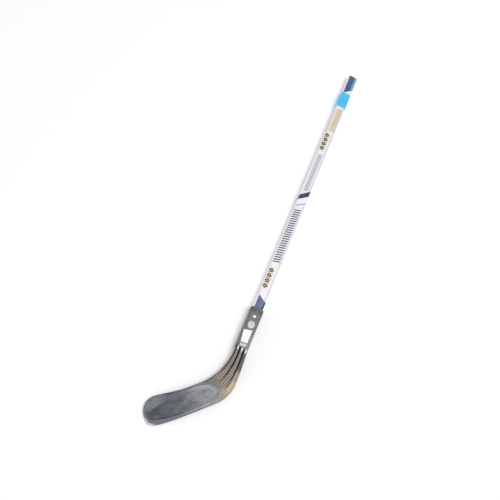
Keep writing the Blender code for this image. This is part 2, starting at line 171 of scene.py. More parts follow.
def sawn_wood(name, pale, dark, pore_mm):
    """Long grain on the faces and pores on the sawn ends. The eye sees fine streaks, no gloss."""
    made, tree, shader, place = new_finish(name, pale, 0.62, IOR=1.5)
    run = add_node(tree, "ShaderNodeMapping", {"Scale": per_metre(*WOOD_GRAIN_MM)}, {"Vector": place})
    streaks = add_node(tree, "ShaderNodeTexNoise", {"Scale": 1.0, "Detail": 4.0}, {0: run.outputs[0]})
    pores = add_node(tree, "ShaderNodeTexVoronoi", {"Scale": per_metre(pore_mm)}, {0: place})
    pore = amount(tree, (pores.outputs[0], 0.16, 0.30, 0.8, 0.0), blend="LINEAR")
    grain = add_node(tree, "ShaderNodeMath", {"operation": "MAXIMUM"},
                     {0: streaks.outputs[0], 1: pore}).outputs[0]
    surface(tree, shader, tinted(tree, pale, dark, grain),
            height=grain, strength=0.35, depth_mm=0.1, sunk=True)
    return made


def finish_node(name, material):
    """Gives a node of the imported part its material."""
    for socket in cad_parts[name].material_slots:
        socket.material = material


birch = sawn_wood("sawn_birch", "#d9bd92", "#a9834f", BIRCH_PORES_MM)
ash = sawn_wood("sawn_ash", "#e0c79c", "#9c7443", ASH_PORES_MM)
finish_node("shaft_core", birch)
for ply in ("shaft_face_front", "shaft_face_back"):
    finish_node(ply, ash)


# Glue lines of the shaft
# Cured resin glue, squeezed out to a third of a millimetre between the core and each ply.
# It fills the joint from end to end and stops a hair short of the sawn butt.
GLUE_WALL = 0.3 * MM
GLUE_SETBACK = 0.1 * MM
GLUE_INSET = 0.05 * MM
GLUE_ROUNDING = 0.08 * MM
GLUE_FLECKS_MM = 1.11
SHARP_ANGLE = math.radians(35)


def new_piece(name, points, faces, material):
    """A mesh piece that rides with the stick and takes its finish from a material slot."""
    mesh = bpy.data.meshes.new(name)
    mesh.from_pydata([tuple(point) for point in points], [], faces)
    shape = bmesh.new()
    shape.from_mesh(mesh)
    bmesh.ops.recalc_face_normals(shape, faces=shape.faces)
    shape.to_mesh(mesh)
    shape.free()
    mesh.materials.append(material)
    mesh.shade_smooth()
    mesh.set_sharp_from_angle(angle=SHARP_ANGLE)
    made = bpy.data.objects.new(name, mesh)
    bpy.context.scene.collection.objects.link(made)
    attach(made, "root")
    return made


# The eye sees thin amber lines with a slight gloss and darker flecks.
glue, tree, shader, place = new_finish("cured_resin_glue", "#8a5a24", 0.35, IOR=1.52)
flecks = add_node(tree, "ShaderNodeTexNoise", {"Scale": per_metre(GLUE_FLECKS_MM), "Detail": 2.0},
                  {0: place})
surface(tree, shader, tinted(tree, "#a8763a", "#5e3a14", flecks.outputs[0]))

core_low, core_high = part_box("shaft_core")
half_width = core_high.y - GLUE_INSET
for label, low in (("front", core_high.z), ("back", core_low.z - GLUE_WALL)):
    line = bmesh.new()
    bmesh.ops.create_cube(line, size=1.0)
    for corner in line.verts:
        corner.co.x = core_low.x if corner.co.x < 0 else core_high.x - GLUE_SETBACK
        corner.co.y = math.copysign(half_width, corner.co.y)
        corner.co.z = low if corner.co.z < 0 else low + GLUE_WALL
    long_edges = [edge for edge in line.edges if abs(edge.verts[0].co.x - edge.verts[1].co.x) > MM]
    bmesh.ops.bevel(line, geom=long_edges, offset=GLUE_ROUNDING, segments=2, affect="EDGES")
    line.verts.index_update()
    corners = [corner.co.copy() for corner in line.verts]
    sides = [[corner.index for corner in side.verts] for side in line.faces]
    line.free()
    new_piece("glue_line_" + label, corners, sides, glue)


# Printed film round the shaft
# Glossy white plastic film, shrunk on over the wood, with a lapped seam down the middle of
# the back. Scuffs and faint streaks of the wood's grain break its gloss.
SHAFT_WIDTH = 0.0265
SHAFT_THICKNESS = 0.018
SHAFT_CORNER = 0.0042
SHAFT = (SHAFT_WIDTH, SHAFT_THICKNESS, SHAFT_CORNER)
FILM_GRAIN_MM = (71.4, 2.0, 2.0)
SCUFF_MM = 6.25
SEAM_LAP_MM = 5.0
SEAM_START_MM = 110.0
SEAM_SETBACK_MM = 0.4
SEAM_PROUD = 0.09 * MM
PATCH_SUNK = 0.04 * MM
PATCH_STEP = 0.55 * MM
STRAIGHT = (0.0, 0.0)

# The eye sees a clean, cool white gloss with duller scuffs.
film, tree, shader, place = new_finish("printed_film_gloss", "#ecebf1", 0.3, IOR=1.5)
run = add_node(tree, "ShaderNodeMapping", {"Scale": per_metre(*FILM_GRAIN_MM)}, {"Vector": place})
streaks = add_node(tree, "ShaderNodeTexNoise", {"Scale": 1.0, "Detail": 3.0}, {0: run.outputs[0]})
scuffs = add_node(tree, "ShaderNodeTexNoise",
                  {"Scale": per_metre(SCUFF_MM), "Detail": 6.0, "Roughness": 0.7}, {0: place}).outputs[0]
scuffed = amount(tree, (scuffs, 0.60, 0.74, 0.0, 0.55), blend="LINEAR")
surface(tree, shader, tinted(tree, "#ecebf1", "#d4d3db", scuffed),
        amount(tree, (scuffs, 0.4, 0.8, 0.24, 0.5), blend="LINEAR"),
        streaks.outputs[0], strength=0.25, depth_mm=0.05)
finish_node("printed_film", film)

film_low, film_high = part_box("printed_film")
AXIS_Z = (film_low.z + film_high.z) / 2
BUTT_X = film_high.x


def round_the_bar(reach, width, thickness, corner):
    """Place (y, z) and outward direction at this reach round a bar, from the front's middle."""
    side = math.copysign(1.0, reach)
    left = abs(reach)
    flat = width / 2 - corner
    arc = corner * math.pi / 2
    wall = thickness - 2 * corner
    if left <= flat:
        return side * left, thickness / 2, 0.0, 1.0
    left -= flat
    if left <= arc:
        turn = left / corner
        return (side * (flat + corner * math.sin(turn)), wall / 2 + corner * math.cos(turn),
                side * math.sin(turn), math.cos(turn))
    left -= arc
    if left <= wall:
        return side * width / 2, wall / 2 - left, side, 0.0
    left -= wall
    if left <= arc:
        turn = left / corner
        return (side * (flat + corner * math.cos(turn)), -wall / 2 - corner * math.sin(turn),
                side * math.cos(turn), -math.sin(turn))
    left -= arc
    return side * (flat - left), -thickness / 2, 0.0, -1.0


def slanted(reaches, ends, leans):
    """A patch between two reaches. Ends are where it ends at reach 0, leans their drift per mm."""
    return [(reach, ends[0] + leans[0] * reach, ends[1] + leans[1] * reach) for reach in reaches]


def lay_on_bar(points, faces, stations, bar, proud):
    """Lays one thin closed patch on a bar. A station is a reach and its two ends, in millimetres."""
    rows = [stations[0]]
    for before, after in zip(stations, stations[1:]):
        steps = max(1, math.ceil((after[0] - before[0]) * MM / PATCH_STEP))
        for step in range(1, steps + 1):
            share = step / steps
            rows.append([near + (far - near) * share for near, far in zip(before, after)])
    first = len(points)
    for reach, low, high in rows:
        y, z, out_y, out_z = round_the_bar(reach * MM, *bar)
        for lift in (proud, -PATCH_SUNK):
            for x in (low * MM, high * MM):
                points.append((x, y + out_y * lift, AXIS_Z + z + out_z * lift))
    last = first + 4 * (len(rows) - 1)
    for here in range(first, last, 4):
        ahead = here + 4
        for near, far in ((0, 1), (1, 3), (3, 2), (2, 0)):
            faces.append((here + near, here + far, ahead + far, ahead + near))
    faces.append((first, first + 1, first + 3, first + 2))
    faces.append((last, last + 1, last + 3, last + 2))


def patches_on_bar(name, patches, bar, proud, material):
    """A piece made of thin patches, all laid on one bar."""
    points = []
    faces = []
    for patch in patches:
        lay_on_bar(points, faces, patch, bar, proud)
    new_piece(name, points, faces, material)


back_reach = (SHAFT_WIDTH + SHAFT_THICKNESS - 4 * SHAFT_CORNER + math.pi * SHAFT_CORNER) / MM
seam_ends = (film_low.x / MM + SEAM_START_MM, BUTT_X / MM - SEAM_SETBACK_MM)
seam = slanted((back_reach - SEAM_LAP_MM, back_reach), seam_ends, STRAIGHT)
patches_on_bar("film_seam", [seam], SHAFT, SEAM_PROUD, film)


# Print on the film
# Gravure inks under the film's gloss: a navy butt, a paler navy painted on as a highlight along
# the butt's right corner, a slate panel, even rows of slanted bars and two rows of diamonds.
# Each ink breaks up into paler specks where the film has rubbed.
PRINT_PROUD = 0.03 * MM
OVERPRINT_PROUD = 0.05 * MM
UNDERPRINT_PROUD = 0.02 * MM
PRINT_SETBACK_MM = 0.3
SPECK_STRETCH = 0.45


def printed_ink(name, colour, rubbed, speckle_mm):
    """A film ink. The eye sees an even tone that breaks up into small paler specks."""
    made, tree, shader, place = new_finish(name, colour, 0.32, IOR=1.4)
    run = add_node(tree, "ShaderNodeMapping", {"Scale": (SPECK_STRETCH, 1, 1)}, {"Vector": place})
    specks = add_node(tree, "ShaderNodeTexNoise",
                      {"Scale": per_metre(speckle_mm), "Detail": 3.0, "Roughness": 0.6},
                      {0: run.outputs[0]}).outputs[0]
    worn = amount(tree, (specks, 0.42, 0.66), blend="LINEAR")
    surface(tree, shader, tinted(tree, colour, rubbed, worn),
            amount(tree, (specks, 0.3, 0.7, 0.26, 0.42), blend="LINEAR"))
    return made


# Real specks are well under a millimetre and would not show here, so each ink's are drawn as
# coarse as it needs. Their width in mm comes last.
navy = printed_ink("navy_film_ink", "#345982", "#4a759b", 5.0)
# A paler navy: a painted highlight on the butt's right corner, where it catches the light.
highlight_navy = printed_ink("worn_navy_film_ink", "#7f9bb1", "#97adbd", 3.5)
slate = printed_ink("slate_film_ink", "#3f4d75", "#6270a4", 6.0)
black = printed_ink("black_film_ink", "#0d0a06", "#221c14", 3.0)
deep_blue = printed_ink("deep_blue_film_ink", "#0c3350", "#17435f", 4.0)
grey = printed_ink("grey_film_ink", "#95929f", "#aeabbb", 3.0)
plum = printed_ink("plum_film_ink", "#1b1b3a", "#34345a", 2.5)
gold = printed_ink("gold_film_ink", "#c3a35c", "#dcc48c", 3.0)
lilac = printed_ink("lilac_film_ink", "#5f6688", "#888eb2", 4.0)
pale_lilac = printed_ink("pale_lilac_film_ink", "#c4c2cc", "#d4d2da", 3.0)
cream = printed_ink("cream_film_ink", "#ece3c8", "#f3eddb", 4.0)
blush = printed_ink("blush_film_ink", "#f6efee", "#f8f4f4", 6.0)


def film_print(name, patches, ink, proud=PRINT_PROUD):
    """A print of one ink on the shaft's film."""
    patches_on_bar(name, patches, SHAFT, proud, ink)


# Places on the shaft are in millimetres: the reach round it from the middle of its front, and
# the place along it. Each plain print has its outline, its ink and how proud it stands.
butt_end = BUTT_X / MM - PRINT_SETBACK_MM
dark_bar = slanted((-11.6, 13.5), (389.6, 406.0), (-0.86, -0.86)) + [(22.0, 377.0, 393.4)]
PLAIN_PRINTS = {
    "print_butt_panel": (slanted((-17.0, 10.8), (763.0, butt_end), (-0.85, 0.0)), navy, PRINT_PROUD),
    # The paler navy over the butt's right corner is a painted highlight.
    "print_butt_corner_highlight": (slanted((-16.6, -5.8), (765.0, butt_end), (-0.85, 0.0)), highlight_navy,
                       OVERPRINT_PROUD),
    "print_slate_panel": (slanted((-14.0, 11.2), (46.0, 81.95), (0.0, 0.61)), slate, PRINT_PROUD),
    "print_slate_shade": (slanted((-14.2, -8.0), (46.2, 81.6), (0.0, 0.61)), plum, OVERPRINT_PROUD),
    "print_dark_bar": (dark_bar, deep_blue, PRINT_PROUD),
    "print_thin_bar": (slanted((-11.0, 13.5), (366.6, 370.2), (-0.71, -0.71)), grey, PRINT_PROUD),
    "print_blush_field": (slanted((-11.0, 22.0), (370.4, 391.0), (-0.71, -0.592)), blush, PRINT_PROUD),
    "print_edge_line": (slanted((-9.4, -7.3), (70.0, 754.0), STRAIGHT), pale_lilac, UNDERPRINT_PROUD),
}
for name, (outline, ink, proud) in PLAIN_PRINTS.items():
    film_print(name, [outline], ink, proud)

# Each row of equal bars: its first bar's place, how many there are, their pitch and width, the
# reaches between which they stand, their lean and their ink.
BAR_ROWS = {
    "print_plum_bars": (188.0, 24, 6.9, 3.4, (-6.0, 12.0), -0.30, plum),
    "print_grey_bars": (412.0, 22, 5.6, 3.2, (-3.0, 9.0), -0.22, grey),
    "print_gold_bars": (617.0, 16, 5.0, 3.2, (-7.0, 7.5), -0.25, gold),
    "print_side_hatching": (612.0, 30, 2.8, 1.5, (12.2, 15.4), -0.25, lilac),
}
for name, (first, count, pitch, width, reaches, lean, ink) in BAR_ROWS.items():
    lows = [first + index * pitch for index in range(count)]
    film_print(name, [slanted(reaches, (low, low + width), (lean, lean)) for low in lows], ink)

# Rows of four diamonds on a cream field. A half size is its reach and its length along the shaft.
FIELD_HALF = (8.6, 31.5)
BLACK_HALF = (7.2, 7.0)
GOLD_HALF = (3.0, 2.9)
LILAC_HALF = (2.2, 2.1)
LILAC_OFFSET = 5.2
DIAMONDS_REACH = 6.5
DIAMOND_PITCH = 15.0
ROW_MIDDLES = (577.0, 139.0)
BLUNT_POINT = 0.1


def diamond(reach, x, half_size):
    """A diamond whose points are blunt by a hair, so that none of its faces is without area."""
    half_reach, half_length = half_size
    return [(reach - half_reach, x - BLUNT_POINT, x + BLUNT_POINT),
            (reach, x - half_length, x + half_length),
            (reach + half_reach, x - BLUNT_POINT, x + BLUNT_POINT)]


field_reaches = (DIAMONDS_REACH - FIELD_HALF[0], DIAMONDS_REACH + FIELD_HALF[0])
cream_fields = [slanted(field_reaches, (middle - FIELD_HALF[1], middle + FIELD_HALF[1]), STRAIGHT)
                for middle in ROW_MIDDLES]
places = [middle + steps * DIAMOND_PITCH for middle in ROW_MIDDLES for steps in (-1.5, -0.5, 0.5, 1.5)]
gaps = [middle + steps * DIAMOND_PITCH for middle in ROW_MIDDLES for steps in (-1.0, 0.0, 1.0)]
film_print("print_cream_fields", cream_fields, cream, UNDERPRINT_PROUD)
film_print("print_black_diamonds", [diamond(DIAMONDS_REACH, x, BLACK_HALF) for x in places], black)
film_print("print_gold_diamonds", [diamond(DIAMONDS_REACH, x, GOLD_HALF) for x in places], gold,
           OVERPRINT_PROUD)
film_print("print_lilac_diamonds", [diamond(DIAMONDS_REACH + offset, x, LILAC_HALF)
                                    for x in gaps for offset in (-LILAC_OFFSET, LILAC_OFFSET)], lilac)


# Colour band
# Sky-blue vinyl tape, one turn round the shaft below the butt, with its end lapped on the
# back. Stretched on by hand, so it has a soft sheen and faint lengthwise creases.
LAP_START_MM = 2.0
LAP_LENGTH_MM = 13.0
LAP_INSETS_MM = (0.15, 0.25)
TAPE_PROUD = 0.16 * MM
CREASE_MM = (11.1, 1.43, 1.43)
PATCHY_MM = 9.09

tape, tree, shader, place = new_finish("sky_blue_vinyl_tape", "#44bbf8", 0.38, IOR=1.52)
run = add_node(tree, "ShaderNodeMapping", {"Scale": per_metre(*CREASE_MM)}, {"Vector": place})
crease = add_node(tree, "ShaderNodeTexNoise", {"Scale": 1.0, "Detail": 3.0}, {0: run.outputs[0]})
patchy = add_node(tree, "ShaderNodeTexNoise", {"Scale": per_metre(PATCHY_MM), "Detail": 3.0}, {0: place})
shade = amount(tree, (patchy.outputs[0], 0.3, 0.7), blend="LINEAR")
surface(tree, shader, tinted(tree, "#38b2ea", "#4ec6fa", shade),
        height=crease.outputs[0], strength=0.35, depth_mm=0.06)
finish_node("colour_band", tape)

band_low, band_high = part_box("colour_band")
band_grow = band_high.y - SHAFT_WIDTH / 2
TAPED = (SHAFT_WIDTH + 2 * band_grow, SHAFT_THICKNESS + 2 * band_grow, SHAFT_CORNER + band_grow)
lap_reaches = (LAP_START_MM - back_reach, LAP_START_MM + LAP_LENGTH_MM - back_reach)
lap_ends = (band_low.x / MM + LAP_INSETS_MM[0], band_high.x / MM - LAP_INSETS_MM[1])
patches_on_bar("band_lap", [slanted(lap_reaches, lap_ends, STRAIGHT)], TAPED, TAPE_PROUD, tape)


# Blade
# Socket, neck and blade are one injection moulding in grey ABS. The faces carry a beaded
# leaf panel and three flutes that run down the neck; its rims and toe are painted with
# highlights, shade and a little wear.
LIE = math.radians(134)
FIT_GAP = 0.0003
HOSEL_LENGTH = 0.105
MOUTH_ROUNDING = 0.0004
HOSEL_WALL = 0.0032
HOSEL_CORNER = 0.0065
SOCKET_DEPTH = 0.095
COLLAR_LENGTH = 0.0065
COLLAR_GROOVE = 0.0016
COLLAR_DEPTH = 0.0008
COLLAR_STEP = 0.00015

# The neck's edges: a pinch below the hosel, a flare above the heel, and the two bends.
NECK_LENGTH = 0.145
NECK_PINCH = 0.0022
PINCH_LENGTH = 0.013
HEEL_FLARE = 0.0045
FLARE_LENGTH = 0.075
THROAT_RADIUS = 0.148
HEEL_RADIUS = 0.085
NECK_BLEND_END = 0.024
NECK_CORNER = 0.0075
CORNER_BLEND_START = 0.7

# The blade, measured from the heel along its lower edge and up from it.
BLADE_LENGTH = 0.176
BLADE_HEIGHT = 0.0595
TOE_HEIGHT = 0.070
TOE_RISE_START = 0.055
TOE_RISE_HASTE = 1.2
TOE_START = 0.136
TOE_AXIS = 0.028
TOE_FULLNESS = (2.3, 3.2)
TOE_LIFT = 0.002
LIFT_START = 0.085
HEEL_THICKNESS = 0.0092
TOE_THICKNESS = 0.006
EDGE_ROUND = 0.9

# Flutes and rib tips: lines are shares of the half width, starts and ends shares of the neck.
FLUTE_LINES = ((0.93, 0.97), (0.36, 0.35), (-0.30, -0.34))
FLUTE_STARTS = (0.02, 0.03, 0.04)
FLUTE_ENDS = (0.55, 0.70, 0.66)
FLUTE_WIDTH = 0.0032
FLUTE_DEPTH = 0.001
FLUTE_ENTRY = 0.06
FLUTE_THINNING = 0.75
FLUTE_FADE = 0.93
FLUTE_LEAST_ROUND = 0.45
FLUTE_PAINT = 0.0029
PAINT_THINNING = 0.45
TIP_LINES = (0.66, -0.06, -0.68)
TIP_SHARE = 0.045
TIP_LENGTH = 0.0055
TIP_WIDTH = 0.0019
TIP_SLANT = 0.12

# The leaf panel: its ends, widest place and axis, the fullness of its ends, and its relief.
LEAF_HEEL = -0.0045
LEAF_TOE = 0.167
LEAF_WIDEST = 0.065
LEAF_AXIS = 0.0245
LEAF_RISE = 0.026
LEAF_FALL = 0.0178
LEAF_BLUNT = 2.7
LEAF_POINT = (2.5, 1.85)
LEAF_DEPTH = 0.0007
LEAF_SLOPE = 0.0015
BEAD_RADIUS = 0.0009
BEAD_PROUD = 0.0004

# How finely the mesh is drawn, a distance that counts as nowhere near, and the least values
# that keep its sums away from nought.
CORNER_STEPS = 9
FACE_STEPS = 72
WALL_STEPS = 4
ARC_STEPS = 48
APPROACH_STEPS = 23
HOSEL_STEP = 0.0035
NECK_RINGS = 150
BLADE_RINGS = 96
TOE_RINGS = 44
TOE_LAST_RING = 0.35
BEND_CLEAR = 0.002
FAR = 0.05
TINY = 1e-4
LEAST_SLOPE = 20.0
LEAST_SQUEEZE = 0.02

HALF_WIDTH = SHAFT_WIDTH / 2 + FIT_GAP + HOSEL_WALL
HALF_THICKNESS = SHAFT_THICKNESS / 2 + FIT_GAP + HOSEL_WALL
MOUTH_X = HOSEL_LENGTH / 2
HOSEL_END_X = -HOSEL_LENGTH / 2
HEEL_X = HOSEL_END_X - NECK_LENGTH
TOE_DROP = AXIS_Z - TOE_THICKNESS / 2
FLUTE_RADIUS = (FLUTE_WIDTH ** 2 / 4 + FLUTE_DEPTH ** 2) / (2 * FLUTE_DEPTH)
HEEL = np.array((HEEL_X, 0.0))
ALONG = np.array((math.cos(LIE), math.sin(LIE)))
UPWARD = np.array((math.sin(LIE), -math.cos(LIE)))


def eased(share):
    """A smooth rise from 0 to 1."""
    share = np.clip(share, 0.0, 1.0)
    return share * share * (3 - 2 * share)


def blade_point(along, up):
    """The place on the floor plan so far along the blade from its heel and so far up it."""
    return HEEL + ALONG * along + UPWARD * up


def upper_edge(along):
    """How far up the blade its upper edge lies."""
    climb = eased((along - TOE_RISE_START) / (BLADE_LENGTH - TOE_RISE_START) * TOE_RISE_HASTE)
    return BLADE_HEIGHT + (TOE_HEIGHT - BLADE_HEIGHT) * climb


def lower_edge(along):
    """How far up the blade its lower edge lies, which lifts towards the toe."""
    share = np.maximum(along - LIFT_START, 0.0) / (TOE_START - LIFT_START)
    return TOE_LIFT * share * share


def bend(before, corner, after, radius):
    """The arc of this radius that rounds the corner between two straight edges."""
    back = (before - corner) / np.linalg.norm(before - corner)
    ahead = (after - corner) / np.linalg.norm(after - corner)
    half_angle = math.acos(float(back @ ahead)) / 2
    bisector = (back + ahead) / np.linalg.norm(back + ahead)
    middle = corner + bisector * (radius / math.sin(half_angle))
    first = corner + back * (radius / math.tan(half_angle)) - middle
    last = corner + ahead * (radius / math.tan(half_angle)) - middle
    sweep = math.pi - 2 * half_angle
    shares = np.linspace(0.0, 1.0, ARC_STEPS + 1)[:, None]
    turned = first * np.sin((1 - shares) * sweep) + last * np.sin(shares * sweep)
    return middle + turned / math.sin(sweep)


def edge_route(side_y, shift, shift_length, height, radius):
    """An edge of the neck: hosel end, a drift of shift, the bend, and on along the blade."""
    settled = side_y + shift
    run = (settled - UPWARD[1] * height) / ALONG[1]
    corner = blade_point(run, height)
    arc = bend(np.array((HOSEL_END_X, settled)), corner, blade_point(BLADE_LENGTH, height), radius)
    x = HOSEL_END_X + (arc[0, 0] - HOSEL_END_X) * np.linspace(0.0, 1.0, APPROACH_STEPS + 1)[:-1]
    y = side_y + shift * eased((HOSEL_END_X - x) / shift_length)
    return np.vstack((np.column_stack((x, y)), arc))


def along_of(at):
    """How far along the blade from its heel a place on the floor plan lies."""
    return (at - HEEL) @ ALONG


def up_of(at):
    """How far up the blade from its heel a place on the floor plan lies."""
    return (at - HEEL) @ UPWARD


inner_route = edge_route(HALF_WIDTH, -NECK_PINCH, PINCH_LENGTH, BLADE_HEIGHT, THROAT_RADIUS)
outer_route = edge_route(-HALF_WIDTH, -HEEL_FLARE, FLARE_LENGTH, 0.0, HEEL_RADIUS)
BLADE_START = max(along_of(inner_route[-1]), along_of(outer_route[-1])) + BEND_CLEAR
inner_route = np.vstack((inner_route, blade_point(BLADE_START, BLADE_HEIGHT)))
outer_route = np.vstack((outer_route, blade_point(BLADE_START, lower_edge(BLADE_START))))


def point_on(route, share):
    """The point at this share of a route's length."""
    lengths = np.concatenate(([0.0], np.cumsum(np.linalg.norm(np.diff(route, axis=0), axis=1))))
    place = share * lengths[-1]
    return np.array((np.interp(place, lengths, route[:, 0]), np.interp(place, lengths, route[:, 1])))


def thickness_at(at):
    """How thick the moulding is: boxed at the hosel, thin along the blade."""
    share = np.clip(along_of(at) / BLADE_LENGTH, 0.0, 1.0)
    blade = HEEL_THICKNESS + (TOE_THICKNESS - HEEL_THICKNESS) * share
    up_neck = (at[..., 0] - HEEL_X - NECK_BLEND_END) / (NECK_LENGTH - NECK_BLEND_END)
    return blade + (2 * HALF_THICKNESS - blade) * eased(up_neck)


def middle_at(at):
    """How high the moulding's middle lies, which curves down to the floor at the toe."""
    share = np.maximum(along_of(at), 0.0) / BLADE_LENGTH
    return AXIS_Z - TOE_DROP * share * share


def leaf_inside(along, up):
    """How far inside the leaf panel's line a point of the face lies."""
    heel_side = along < LEAF_WIDEST
    above = up > LEAF_AXIS
    length = np.where(heel_side, LEAF_WIDEST - LEAF_HEEL, LEAF_TOE - LEAF_WIDEST)
    height = np.where(above, LEAF_RISE, LEAF_FALL)
    power = np.where(heel_side, LEAF_BLUNT, np.where(above, *LEAF_POINT))
    reach = np.maximum(np.abs(along - LEAF_WIDEST) / length, TINY)
    rise = np.maximum(np.abs(up - LEAF_AXIS) / height, TINY)
    slope = np.hypot(power * reach ** (power - 1) / length, power * rise ** (power - 1) / height)
    return (1 - reach ** power - rise ** power) / np.maximum(slope, LEAST_SLOPE)


def toe_inside(along, up):
    """How far inside the toe's outline a point lies."""
    length = BLADE_LENGTH - TOE_START
    above = up > TOE_AXIS
    span = np.where(above, upper_edge(along) - TOE_AXIS, TOE_AXIS - lower_edge(along))
    power = np.where(above, *TOE_FULLNESS)
    reach = np.maximum(np.maximum(along - TOE_START, 0.0) / length, TINY)
    rise = np.maximum(np.abs(up - TOE_AXIS) / span, TINY)
    slope = np.hypot(power * reach ** (power - 1) / length, power * rise ** (power - 1) / span)
    inside = (1 - reach ** power - rise ** power) / np.maximum(slope, LEAST_SLOPE)
    return np.maximum(inside, 0.0)


FIELDS = ("flute_mm", "tip_mm", "leaf_mm", "along_mm", "up_mm", "neck", "across", "edge_mm")


def flutes_at(points, share, half_width, face_places):
    """How deep the flutes sink each point of a ring, and how far it lies from their paint."""
    sink = np.zeros(len(points))
    gap = np.full(len(points), FAR)
    for (line, last_line), start, end in zip(FLUTE_LINES, FLUTE_STARTS, FLUTE_ENDS):
        run = np.clip((share - start) / (end - start), 0.0, 1.0)
        past = max(start - share, share - end, 0.0) * NECK_LENGTH
        fading = 1 - eased((run - FLUTE_FADE) / (1 - FLUTE_FADE))
        taper = min(run / FLUTE_ENTRY, 1.0) * (1 - FLUTE_THINNING * run) * fading
        groove = FLUTE_DEPTH * taper
        radius = FLUTE_RADIUS * (FLUTE_LEAST_ROUND + (1 - FLUTE_LEAST_ROUND) * taper)
        half_paint = FLUTE_PAINT * (1 - PAINT_THINNING * run)
        for centre in face_places((line + (last_line - line) * run) * half_width):
            away = np.linalg.norm(points - centre, axis=1)
            if share and groove > 0:
                cut = np.sqrt(np.maximum(radius ** 2 - away ** 2, 0.0)) - (radius - groove)
                sink = np.maximum(sink, np.where(away < radius, cut, 0.0))
            gap = np.minimum(gap, np.hypot(away, past) - half_paint)
    return sink, gap


def tips_at(off_middle, share, half_width):
    """How far each point of a ring lies from the pale tips of the ribs between the flutes."""
    gap = np.full(len(off_middle), FAR)
    off_along = (share - TIP_SHARE) * NECK_LENGTH
    for line in TIP_LINES:
        off_across = off_middle - line * half_width - off_along * TIP_SLANT
        oval = np.hypot(off_across / TIP_WIDTH, off_along / TIP_LENGTH)
        gap = np.minimum(gap, (oval - 1) * TIP_WIDTH)
    return gap


def leaf_relief(leaf):
    """How far the bead raises a face and the panel sinks it, so far inside the leaf's line."""
    bead = np.sqrt(np.maximum(BEAD_RADIUS ** 2 - leaf ** 2, 0.0)) - (BEAD_RADIUS - BEAD_PROUD)
    bead = np.where(np.abs(leaf) < BEAD_RADIUS, bead, -1.0)
    pocket = -LEAF_DEPTH * np.clip((leaf - BEAD_RADIUS / 2) / LEAF_SLOPE, 0.0, 1.0)
    return np.where(leaf > 0, np.maximum(bead, pocket), np.maximum(bead, 0.0))


def moulded_ring(inner, outer, share=0.0, squeeze=1.0, shrink=0.0, toe=False):
    """One closed cross-section between two edge points, with the fields that its paint needs."""
    middle = (inner + outer) / 2
    half = (inner - outer) / 2
    half_width = np.linalg.norm(half)
    side = half / half_width
    half_width -= shrink
    up_neck = np.clip((middle[0] - HEEL_X) / NECK_LENGTH, 0.0, 1.0)
    blend = (up_neck - CORNER_BLEND_START) / (1 - CORNER_BLEND_START)
    corner = NECK_CORNER + (HOSEL_CORNER - NECK_CORNER) * eased(blend)
    corner = min(corner, min(thickness_at(middle) / 2, half_width) * EDGE_ROUND) - shrink
    turns = np.linspace(0.0, math.pi / 2, CORNER_STEPS, endpoint=False)
    edge = half_width - corner + corner * np.cos(turns)
    flat = half_width - corner
    reach = np.concatenate((edge, np.linspace(flat, -flat, FACE_STEPS + 1), -edge[::-1]))
    at = middle + side * reach[:, None]
    half_thickness = thickness_at(at) / 2 - shrink
    round_by = np.minimum(corner, half_thickness * EDGE_ROUND)
    inside = half_width - np.abs(reach)
    if toe:
        inside = np.minimum(inside, toe_inside(along_of(at), up_of(at)))
    depth = np.minimum(inside * round_by / corner, round_by)
    fall = round_by - np.sqrt(np.maximum(round_by ** 2 - (round_by - depth) ** 2, 0.0))
    height = (half_thickness - fall) * squeeze
    lean = np.sign(reach) * np.clip((corner - (half_width - np.abs(reach))) / corner, 0.0, 1.0)
    level = middle_at(at)

    wall = np.linspace(1.0, -1.0, WALL_STEPS + 1)[1:-1]
    count = len(wall)
    loop_at = np.vstack((at, np.repeat(at[-1:], count, 0), at[::-1], np.repeat(at[:1], count, 0)))
    loop_high = np.concatenate((height, wall * height[-1], -height[::-1], -wall * height[0]))
    loop_level = np.concatenate((level, [level[-1]] * count, level[::-1], [level[0]] * count))
    loop_lean = np.concatenate((lean, [-1.0] * count, lean[::-1], [1.0] * count))
    face = np.concatenate((np.ones(len(at)), np.zeros(count), -np.ones(len(at)), np.zeros(count)))
    out = np.column_stack((side * loop_lean[:, None], face * np.sqrt(1 - loop_lean ** 2)))
    points = np.column_stack((loop_at, loop_level + loop_high))

    def face_places(spot):
        """The places on both faces that lie this far to the inner side of the ring's middle."""
        here = middle + side * spot
        rise = np.interp(-spot, -reach, height)
        return [(*here, np.interp(-spot, -reach, level) + lift) for lift in (rise, -rise)]

    off_middle = (loop_at - middle) @ side
    along = along_of(loop_at)
    up = up_of(loop_at)
    leaf = leaf_inside(along, up)
    sink, flute_gap = flutes_at(points, share, half_width, face_places)
    tip_gap = np.where(face == 0, FAR, tips_at(off_middle, share, half_width))
    relief = np.where(face == 0, 0.0, leaf_relief(leaf))
    edge_gap = np.concatenate((inside, np.zeros(count), inside[::-1], np.zeros(count)))
    fields = np.column_stack((flute_gap / MM, tip_gap / MM, leaf / MM, along / MM, up / MM,
                              np.full(len(points), share), off_middle / half_width, edge_gap / MM))
    return points + out * (relief - sink)[:, None], fields


def hosel_section(x, shrink=0.0):
    """A ring of the hosel's outside."""
    return moulded_ring(np.array((x, HALF_WIDTH)), np.array((x, -HALF_WIDTH)), shrink=shrink)


def socket_section(x):
    """The socket's wall, drawn with as many points as the outside."""
    points, fields = hosel_section(x)
    inner_half = np.array((HALF_WIDTH, HALF_THICKNESS)) - HOSEL_WALL
    outer_flat = np.array((HALF_WIDTH, HALF_THICKNESS)) - HOSEL_CORNER
    inner_corner = SHAFT_CORNER + FIT_GAP
    offset = points[:, 1:] - (0.0, AXIS_Z)
    beyond = np.maximum(np.abs(offset) - outer_flat, 0.0) / HOSEL_CORNER
    within = np.minimum(np.abs(offset) / outer_flat, 1.0) * (inner_half - inner_corner)
    points[:, 1:] = np.sign(offset) * (within + beyond * inner_corner) + (0.0, AXIS_Z)
    return points, fields


